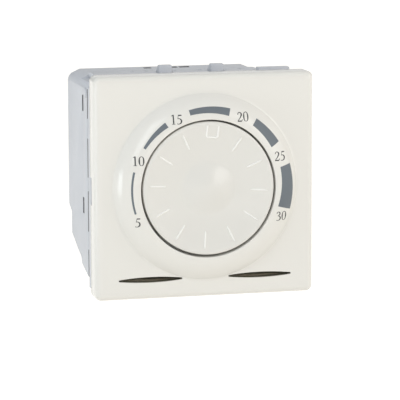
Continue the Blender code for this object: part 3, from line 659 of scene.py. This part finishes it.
def mix_colours(tree, factor, first, second, blend='MIX'):
    """Mixes two colours, each one a colour or a socket; so is the factor."""
    mix = tree.nodes.new("ShaderNodeMix")
    mix.data_type = 'RGBA'
    mix.blend_type = blend
    for name, value in (("Factor", factor), ("A", first), ("B", second)):
        if isinstance(value, bpy.types.NodeSocket):
            tree.links.new(value, mix.inputs[name])
        elif name == "Factor":
            mix.inputs[name].default_value = value
        else:
            mix.inputs[name].default_value = (*value, 1.0)
    return mix.outputs["Result"]


def inside_box(tree, low, high):
    """1 where the piece's own coordinates lie in a box given in millimetres, otherwise 0."""
    parts = separate(tree, coordinates(tree, "Object"))
    inside = None
    for axis, near, far in zip("XYZ", low, high):
        test = tree.nodes.new("ShaderNodeMath")
        test.operation = 'COMPARE'
        tree.links.new(parts[axis], test.inputs[0])
        test.inputs[1].default_value = (near + far) / 2 * MM
        test.inputs[2].default_value = (far - near) / 2 * MM
        value = test.outputs["Value"]
        inside = combine(tree, 'MULTIPLY', inside, value) if inside else value
    return inside


# ---- materials ---------------------------------------------------------------------
COLOUR_SCALE, GLOSS_SCALE = 90.0, 420.0     # noise scales, per metre
GRAIN_DEPTH = 0.00004                       # metres


def plastic(name, colour, roughness, grain=0.0, grain_scale=9000.0, drift=0.03, specular=0.5,
            gloss_drift=0.15):
    """Moulded plastic: a faint drift of colour, uneven gloss, and an eroded mould grain."""
    made = bpy.data.materials.new(name)
    made.use_nodes = True
    tree = made.node_tree
    shader = tree.nodes["Principled BSDF"]
    shade = [max(channel * (1 - drift), 0.0) for channel in colour]
    light = [min(channel * (1 + drift), 1.0) for channel in colour]
    tree.links.new(mix_colours(tree, noise(tree, COLOUR_SCALE, 3.0), shade, light),
                   shader.inputs["Base Color"])
    gloss = map_range(tree, noise(tree, GLOSS_SCALE, 4.0), (0.0, 1.0),
                      (roughness * (1 - gloss_drift), roughness * (1 + gloss_drift)))
    tree.links.new(gloss, shader.inputs["Roughness"])
    shader.inputs["Specular IOR Level"].default_value = specular
    if grain:
        bump = tree.nodes.new("ShaderNodeBump")
        bump.inputs["Strength"].default_value = grain
        bump.inputs["Distance"].default_value = GRAIN_DEPTH
        tree.links.new(noise(tree, grain_scale, 2.0), bump.inputs["Height"])
        tree.links.new(bump.outputs["Normal"], shader.inputs["Normal"])
    return made


def metal(name, colour, roughness):
    """Metal with a fine uneven finish."""
    made = plastic(name, colour, roughness, 0.25, 2500.0, drift=0.08)
    made.node_tree.nodes["Principled BSDF"].inputs["Metallic"].default_value = 1.0
    return made


def paint_recess_shade(slot, boxes, colour):
    """Paints shade into the colour of the walls of narrow recesses: painted shade where shadow
    falls.
    """
    tree = MATERIALS[slot].node_tree
    base = tree.nodes["Principled BSDF"].inputs["Base Color"]
    plain = base.links[0].from_socket
    dark = None
    for low, high in boxes:
        value = inside_box(tree, low, high)
        # the mask of painted shade: 1 inside any of the boxes
        dark = combine(tree, 'MAXIMUM', dark, value) if dark else value
    tree.links.new(mix_colours(tree, dark, plain, colour), base)


MATERIALS = {                           # colour, roughness, grain, grain scale, drift of colour
    "cover_plastic": plastic("ivory_cover", (0.83, 0.815, 0.775), 0.17, 0.04, 5000.0, 0.006,
                             gloss_drift=0.05),
    "knob_plastic": plastic("ivory_knob", (0.79, 0.778, 0.742), 0.16, 0.03, 5000.0, 0.004,
                            gloss_drift=0.03),
    "carrier_plastic": plastic("grey_carrier", (0.625, 0.643, 0.685), 0.48, 0.25, 4000.0, 0.03),
    "body_plastic": plastic("grey_body", (0.625, 0.643, 0.685), 0.50, 0.3, 4000.0, 0.04),
    "terminal_plastic": plastic("grey_terminals", (0.50, 0.52, 0.54), 0.5, 0.3, 4000.0, 0.04),
    "board_laminate": plastic("green_laminate", (0.03, 0.20, 0.08), 0.4, 0.2, 3000.0, 0.12),
    "component_black": plastic("black_component", (0.02, 0.02, 0.022), 0.45, 0.3, 4000.0, 0.2),
    "component_yellow": plastic("yellow_component", (0.72, 0.50, 0.06), 0.4, 0.2, 4000.0, 0.05),
    "component_blue": plastic("blue_component", (0.04, 0.12, 0.42), 0.35, 0.2, 1500.0, 0.1),
    "relay_shell": plastic("blue_relay", (0.05, 0.14, 0.48), 0.3, 0.1, 4000.0, 0.05),
    "track_laminate": plastic("brown_laminate", (0.25, 0.13, 0.06), 0.6, 0.4, 2500.0, 0.15),
    "zinc_steel": metal("zinc_steel", (0.62, 0.62, 0.60), 0.35),
    "brass": metal("brass_strip", (0.72, 0.55, 0.26), 0.3),
    "copper_winding": metal("copper_winding", (0.62, 0.26, 0.12), 0.35),
    "spring_steel": metal("spring_steel", (0.55, 0.55, 0.56), 0.3),
    "aluminium_can": metal("turned_aluminium", (0.75, 0.76, 0.77), 0.3),
}
# painted highlight: the raised ticks and pointer border are painted paler than the knob, for the
# light their ridges catch
PALE_MARKS = plastic("pale_marks", (0.96, 0.955, 0.93), 0.3, drift=0.01)
ARC_INK = plastic("grey_blue_ink", (0.150, 0.175, 0.200), 0.5, drift=0.05)
TEXT_INK = plastic("dark_grey_ink", (0.045, 0.047, 0.052), 0.5, drift=0.05)


# ---- recesses that get painted shade, as boxes in millimetres ----------------------
BODY_SIDE = 22.3                        # X just outside the body's side walls
WALL_MIDDLE, WALL_HALF = 21.3, 0.82     # X of the middle of a side wall, half its thickness
WINDOW_REACH = 1.7                      # half a window's height, edges included
GROOVE_SPANS = ((-19.2, -13.3), (-9.6, -1.4), (1.4, 9.3), (13.3, 19.3))     # Z, between tabs
GROOVE_WALLS = [((-BODY_SIDE, 0.6, low), (BODY_SIDE, 1.15, high)) for low, high in GROOVE_SPANS]
TOP_SLOTS = ((-6.6, -5.2), (-0.9, 0.4), (1.0, 3.0))                         # X spans
TOP_SLOT_WALLS = [((low - 0.1, 17.5, 19.9), (high + 0.1, 19.2, 21.3)) for low, high in TOP_SLOTS]
WINDOW_WALLS = [((side * WALL_MIDDLE - WALL_HALF, 4.85, middle_z - WINDOW_REACH),
                 (side * WALL_MIDDLE + WALL_HALF, 6.35, middle_z + WINDOW_REACH))
                for side in (-1, 1) for middle_z in WINDOW_MIDDLES]
VENT_REACH = VENT_LENGTH / 2 + 0.2
VENT_WALLS = [((side * VENT_CENTRE[0] - VENT_REACH, COVER_FRONT + 0.12, VENT_CENTRE[1] - 0.9),
               (side * VENT_CENTRE[0] + VENT_REACH, COVER_FRONT + 1.55, VENT_CENTRE[1] + 0.9))
              for side in (-1, 1)]
BEHIND_VENTS = ((-18.6, -4.75, -19.88), (18.6, 0.3, -15.5))

# painted shade: the walls of the seam groove between the tabs and of the side windows are darkened
# where shadow falls
paint_recess_shade("body_plastic", GROOVE_WALLS + WINDOW_WALLS, (0.10, 0.10, 0.105))
# painted shade: the walls and rims of the top slots are painted near black, as deep shadow
paint_recess_shade("body_plastic", TOP_SLOT_WALLS, (0.02, 0.02, 0.02))
# painted shade: the grey carrier behind the air slots is painted a darker warm brown, where shadow
# falls
paint_recess_shade("carrier_plastic", [BEHIND_VENTS], (0.55, 0.48, 0.35))
# painted shade: the walls of the cover's air slots are painted dark brown, as shadow inside them
paint_recess_shade("cover_plastic", VENT_WALLS, (0.21, 0.185, 0.135))


# ---- pieces in their places --------------------------------------------------------
EDGE_WIDTHS = {"rear_housing": 0.25, "carrier_frame": 0.15, "terminal_block": 0.2,
               "upper_latch_left": 0.2, "upper_latch_right": 0.2}
SMALL_EDGE = 0.08                       # rounding of every other CAD node's edges


def dress(obj, slot, body, material=None):
    """Gives a piece its material, the slot's own unless another is given, and the body that it
    rides on.
    """
    obj.data.materials.clear()
    obj.data.materials.append(material or MATERIALS[slot])
    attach(obj, body)
    return obj


def place_pieces():
    """The cover, the knob and their marks, then a refined copy of every other CAD node."""
    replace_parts(dress(cover_shell(), "cover_plastic", "root"), "front_cover")
    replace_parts(dress(knob_shell(), "knob_plastic", "knob"), "knob_cap")
    dress(knob_marks(), "knob_plastic", "knob", PALE_MARKS)
    dress(scale_arcs(), "cover_plastic", "root", ARC_INK)
    dress(scale_numerals(), "cover_plastic", "root", TEXT_INK)
    body_of = {node: body for body, nodes in frame["record"]["behaviour"]["bodies"].items()
               for node in nodes}
    for part in frame["record"]["subparts"]:
        node = part["node"]
        if node not in ("front_cover", "knob_cap"):
            piece = refined(node, node + "_piece", EDGE_WIDTHS.get(node, SMALL_EDGE))
            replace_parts(dress(piece, part["material_slot"], body_of[node]), node)


place_pieces()


# ---- floor, light and camera, in metres --------------------------------------------
AZIMUTH, ELEVATION, ROLL = math.radians(-14.102), math.radians(8.902), math.radians(-0.157)
DISTANCE = 0.5235
LENS = 235.58
LOOK_OFFSET = (-1.076, -2.746)          # millimetres right and up of the aim point
AIM = Vector((0.0, COVER_FRONT * MM, 0.0))

FLOOR_HALF, FLOOR_HEIGHT = 6.0, -0.06
GLOW_BEFORE, GLOW_BEHIND, GLOW_FAR = 0.16, 0.5, 0.6     # the floor's own light
WORLD_BEFORE, WORLD_BEHIND = 0.75, 0.56                 # strength before and behind the object
WORLD_STOPS = [(0.0, 0.45), (0.15, 0.62), (0.40, 0.80), (0.65, 0.96), (1.0, 0.98)]
COOL_SIDE, WARM_SIDE = (0.91, 0.96, 1.0), (1.0, 0.97, 0.92)
WARM_LAMP = (1.0, 0.98, 0.95)
LAMPS = [                               # name, place, width, height, watts, colour
    ("left", (-0.8, -1.0, 0.75), 0.5, 1.0, 3.85, (0.92, 0.965, 1.0)),
    ("low_left", (-0.292, -0.067, -0.01), 0.08, 0.095, 0.11, (0.88, 0.95, 1.0)),
    ("right", (0.56, -0.67, 0.22), 0.42, 0.42, 1.25, WARM_LAMP),
    ("far_right", (1.1, -0.35, 0.2), 0.8, 0.8, 1.9, WARM_LAMP),
    ("back", (0.34, 1.34, 0.3), 0.9, 0.9, 1.25, (1.0, 1.0, 1.0)),
]


def add_camera():
    """The camera stands at an azimuth and elevation about the aim point, a little tilted."""
    back = Vector((math.sin(AZIMUTH) * math.cos(ELEVATION),
                   -math.cos(AZIMUTH) * math.cos(ELEVATION), math.sin(ELEVATION)))
    right = Vector((0, 0, 1)).cross(back).normalized()
    up = back.cross(right)
    data = bpy.data.cameras.new("camera")
    data.lens = LENS
    data.sensor_width = 36.0
    data.clip_start = 0.01
    data.clip_end = 50.0
    camera = bpy.data.objects.new("camera", data)
    bpy.context.scene.collection.objects.link(camera)
    camera.location = AIM + back * DISTANCE
    look_at = AIM + (right * LOOK_OFFSET[0] + up * LOOK_OFFSET[1]) * MM
    level = (look_at - camera.location).to_track_quat('-Z', 'Y')
    camera.rotation_euler = (level @ Quaternion((0.0, 0.0, 1.0), ROLL)).to_euler()
    bpy.context.scene.camera = camera


def add_lamp(name, location, width, height, power, colour):
    """A soft rectangular lamp that faces the object."""
    data = bpy.data.lights.new(name, 'AREA')
    data.shape = 'RECTANGLE'
    data.size = width
    data.size_y = height
    data.energy = power
    data.color = colour
    light = bpy.data.objects.new(name, data)
    bpy.context.scene.collection.objects.link(light)
    light.location = Vector(location)
    light.rotation_euler = (-light.location).to_track_quat('-Z', 'Y').to_euler()


def add_floor():
    """A pale floor. Behind the object and far from it, it shines, so that it shows as white."""
    half, height = FLOOR_HALF, FLOOR_HEIGHT
    mesh = bpy.data.meshes.new("floor")
    mesh.from_pydata([(-half, -half, height), (half, -half, height), (half, half, height),
                      (-half, half, height)], [], [(0, 1, 2, 3)])
    floor = bpy.data.objects.new("floor", mesh)
    bpy.context.scene.collection.objects.link(floor)
    paint = plastic("pale_floor", (0.92, 0.885, 0.82), 0.9, drift=0.01, specular=0.0)
    tree = paint.node_tree
    place = coordinates(tree, "Object")
    behind = map_range(tree, separate(tree, place)["Y"], (-0.01, 0.045),
                       (GLOW_BEFORE, GLOW_BEHIND), smooth=True)
    length = tree.nodes.new("ShaderNodeVectorMath")
    length.operation = 'LENGTH'
    tree.links.new(place, length.inputs[0])
    far = map_range(tree, length.outputs["Value"], (0.3, 1.2), (0.0, GLOW_FAR), smooth=True)
    shader = tree.nodes["Principled BSDF"]
    shader.inputs["Emission Color"].default_value = (1.0, 1.0, 1.0, 1.0)
    tree.links.new(combine(tree, 'MAXIMUM', behind, far), shader.inputs["Emission Strength"])
    mesh.materials.append(paint)


def add_world():
    """A studio tent: bright overhead, dimmer near the horizon and behind the object."""
    world = bpy.data.worlds.new("studio")
    bpy.context.scene.world = world
    world.use_nodes = True
    tree = world.node_tree
    direction = separate(tree, coordinates(tree, "Generated"))
    height = tree.nodes.new("ShaderNodeValToRGB")
    ramp = height.color_ramp
    while len(ramp.elements) < len(WORLD_STOPS):
        ramp.elements.new(0.5)
    for element, (position, value) in zip(ramp.elements, WORLD_STOPS):
        element.position = position
        element.color = (value, value, value, 1.0)
    tree.links.new(direction["Z"], height.inputs["Fac"])
    side = map_range(tree, direction["X"], (-0.8, 0.8), (0.0, 1.0))
    tint = mix_colours(tree, side, COOL_SIDE, WARM_SIDE)
    background = tree.nodes["Background"]
    tree.links.new(mix_colours(tree, 1.0, height.outputs["Color"], tint, 'MULTIPLY'),
                   background.inputs["Color"])
    tree.links.new(map_range(tree, direction["Y"], (-0.7, 0.7), (WORLD_BEFORE, WORLD_BEHIND)),
                   background.inputs["Strength"])


add_world()
add_floor()
add_camera()
for lamp in LAMPS:
    add_lamp(*lamp)
bpy.context.scene.view_settings.view_transform = 'Standard'
